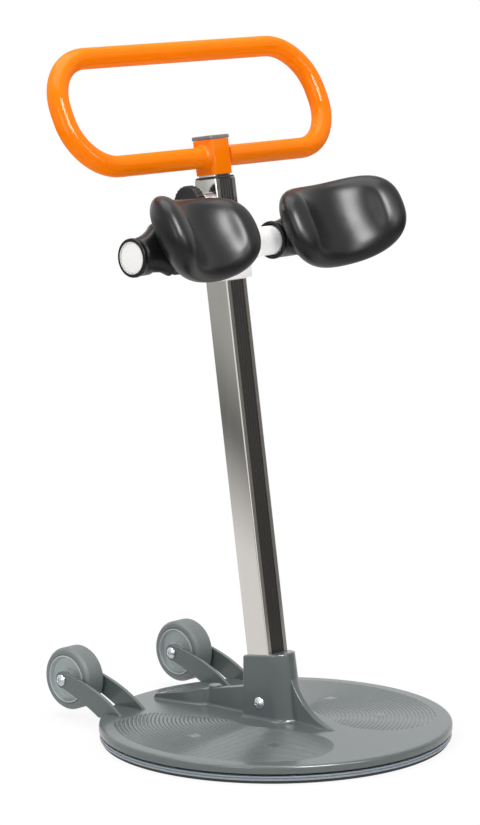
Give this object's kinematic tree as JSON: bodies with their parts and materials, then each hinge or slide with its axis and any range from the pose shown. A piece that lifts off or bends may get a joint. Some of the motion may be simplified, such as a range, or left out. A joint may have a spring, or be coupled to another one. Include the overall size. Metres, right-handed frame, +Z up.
{
  "type": "standing transfer aid",
  "caption": "Sit-to-stand turner: round turntable foot plate with tilt-and-roll wheels, leaning height-adjustable column, padded shin supports and a grip loop on top.",
  "frame": {"origin": "on the turntable's vertical turning axis, at the underside of the anti-slip mat", "axes": "+Z up. -Y is the side where the person stands, and +Y is the helper's side, with the wheels. +X is to the right for someone who looks along +Y."},
  "size_m": [0.4984, 0.5457, 0.9033],
  "materials": {
    "mat_rubber": "matt ribbed rubber",
    "disc_grey": "satin powder coat",
    "acetal": "smooth low-friction plastic",
    "zinc_steel": "bright zinc plate",
    "moulded_grey": "satin moulded grey",
    "tyre_grey": "smooth grey tread",
    "hub_grey": "satin moulded grey",
    "chrome": "polished chrome plate",
    "rail_black": "ribbed black plastic strip",
    "orange_enamel": "glossy orange enamel",
    "cap_grey": "satin grey plastic",
    "knob_black": "ribbed black plastic",
    "white_enamel": "satin white powder coat",
    "white_plastic": "smooth white plastic",
    "pad_black": "skinned polyurethane foam with a fine leather grain"
  },
  "bodies": {
    "floor_base": {"anti_slip_mat": "mat_rubber", "floor_disc": "disc_grey", "glide_ring": "acetal", "pivot_bolt": "zinc_steel", "pivot_washer": "zinc_steel", "pivot_nut": "zinc_steel"},
    "platform": {"foot_plate": "moulded_grey", "pivot_bush": "acetal", "left_fork_outer": "moulded_grey", "left_fork_inner": "moulded_grey", "right_fork_outer": "moulded_grey", "right_fork_inner": "moulded_grey", "left_axle_bolt": "zinc_steel", "left_axle_nut": "zinc_steel", "right_axle_bolt": "zinc_steel", "right_axle_nut": "zinc_steel", "column_tube": "chrome", "column_rail_front": "rail_black", "column_rail_rear": "rail_black", "column_top_bush": "rail_black", "socket_screw": "zinc_steel", "socket_nut": "zinc_steel", "lock_boss": "zinc_steel"},
    "left_wheel": {"left_tyre": "tyre_grey", "left_hub": "hub_grey", "left_bush": "acetal"},
    "right_wheel": {"right_tyre": "tyre_grey", "right_hub": "hub_grey", "right_bush": "acetal"},
    "lift_handle": {"handle_loop": "orange_enamel", "handle_sleeve": "orange_enamel", "inner_tube": "chrome", "inner_rail_front": "rail_black", "inner_rail_rear": "rail_black", "handle_cap": "cap_grey", "inner_glide": "rail_black"},
    "height_lock": {"height_knob": "knob_black", "height_stud": "zinc_steel"},
    "shin_support": {"support_carrier": "white_enamel", "carrier_liner": "acetal", "cross_tube": "white_enamel", "left_end_plug": "white_plastic", "right_end_plug": "white_plastic"},
    "support_lock": {"support_knob": "knob_black", "support_stud": "zinc_steel"},
    "left_shin_pad": {"left_pad": "pad_black", "left_pad_liner_inner": "acetal", "left_pad_liner_outer": "acetal"},
    "right_shin_pad": {"right_pad": "pad_black", "right_pad_liner_inner": "acetal", "right_pad_liner_outer": "acetal"}
  },
  "joints": [
    {"name": "platform_turn", "type": "hinge", "parent": "floor_base", "child": "platform", "pos_m": [0, 0, 0.0127], "axis": [0, 0, 1], "continuous": true},
    {"name": "left_wheel_spin", "type": "hinge", "parent": "platform", "child": "left_wheel", "pos_m": [-0.1045, 0.2717, 0.0547], "axis": [1, 0, 0], "continuous": true},
    {"name": "right_wheel_spin", "type": "hinge", "parent": "platform", "child": "right_wheel", "pos_m": [0.1045, 0.2717, 0.0547], "axis": [1, 0, 0], "continuous": true},
    {"name": "handle_slide", "type": "slide", "parent": "platform", "child": "lift_handle", "axis": [0, 0.1413, 0.99], "range_m": [0, 0.25]},
    {"name": "height_lock_turn", "type": "hinge", "parent": "platform", "child": "height_lock", "pos_m": [0, 0.0975, 0.70025], "axis": [-1, 0, 0], "range_deg": [0, 360]},
    {"name": "support_slide", "type": "slide", "parent": "platform", "child": "shin_support", "axis": [0, 0.1413, 0.99], "range_m": [-0.25, 0]},
    {"name": "support_lock_turn", "type": "hinge", "parent": "shin_support", "child": "support_lock", "pos_m": [0, 0.09315, 0.63441], "axis": [-1, 0, 0], "range_deg": [0, 360]},
    {"name": "left_pad_tilt", "type": "hinge", "parent": "shin_support", "child": "left_shin_pad", "pos_m": [-0.1313, 0.04306, 0.64862], "axis": [1, 0, 0], "range_deg": [-30, 30]},
    {"name": "right_pad_tilt", "type": "hinge", "parent": "shin_support", "child": "right_shin_pad", "pos_m": [0.1313, 0.04306, 0.64862], "axis": [1, 0, 0], "range_deg": [-30, 30]}
  ]
}
